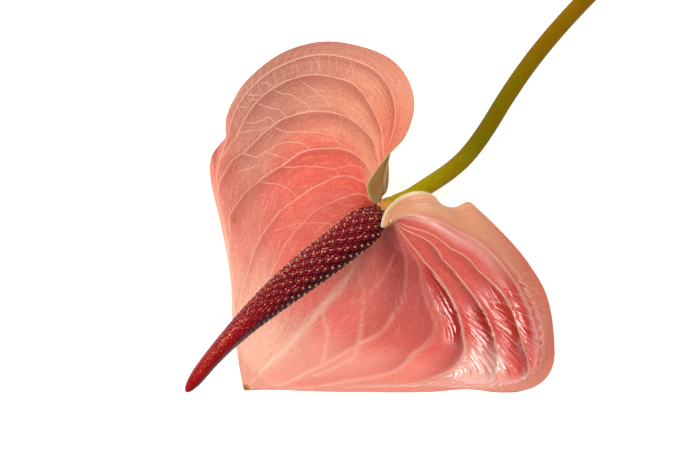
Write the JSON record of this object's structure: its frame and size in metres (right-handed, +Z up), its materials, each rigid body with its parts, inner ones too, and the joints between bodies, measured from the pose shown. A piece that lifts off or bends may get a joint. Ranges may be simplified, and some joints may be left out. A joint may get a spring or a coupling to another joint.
{
  "type": "cut anthurium stem",
  "caption": "Cut anthurium lying on its side: a heart-shaped coral spathe with a rolled lip, a dark red tapering spadix and a long bare green stem.",
  "frame": {"origin": "middle of the part's box, on the surface that the flower lies on", "axes": "+Z up from the surface, +X along the stem towards its cut end, so the spadix points to -X, and the two lobes of the spathe lie to +Y and -Y"},
  "size_m": [0.2934, 0.1129, 0.0529],
  "materials": {
    "spathe": "waxy, glossy plant tissue, coral with a paler rim, tan green underneath",
    "spadix": "satin fleshy spike of dark crimson florets with pale stigmas, smooth red tip",
    "stem": "smooth satin plant stem, olive green turning brown, with fine ridges along it"
  },
  "bodies": {
    "root": {"spathe": "spathe", "spadix": "spadix", "stem": "stem"}
  },
  "joints": []
}
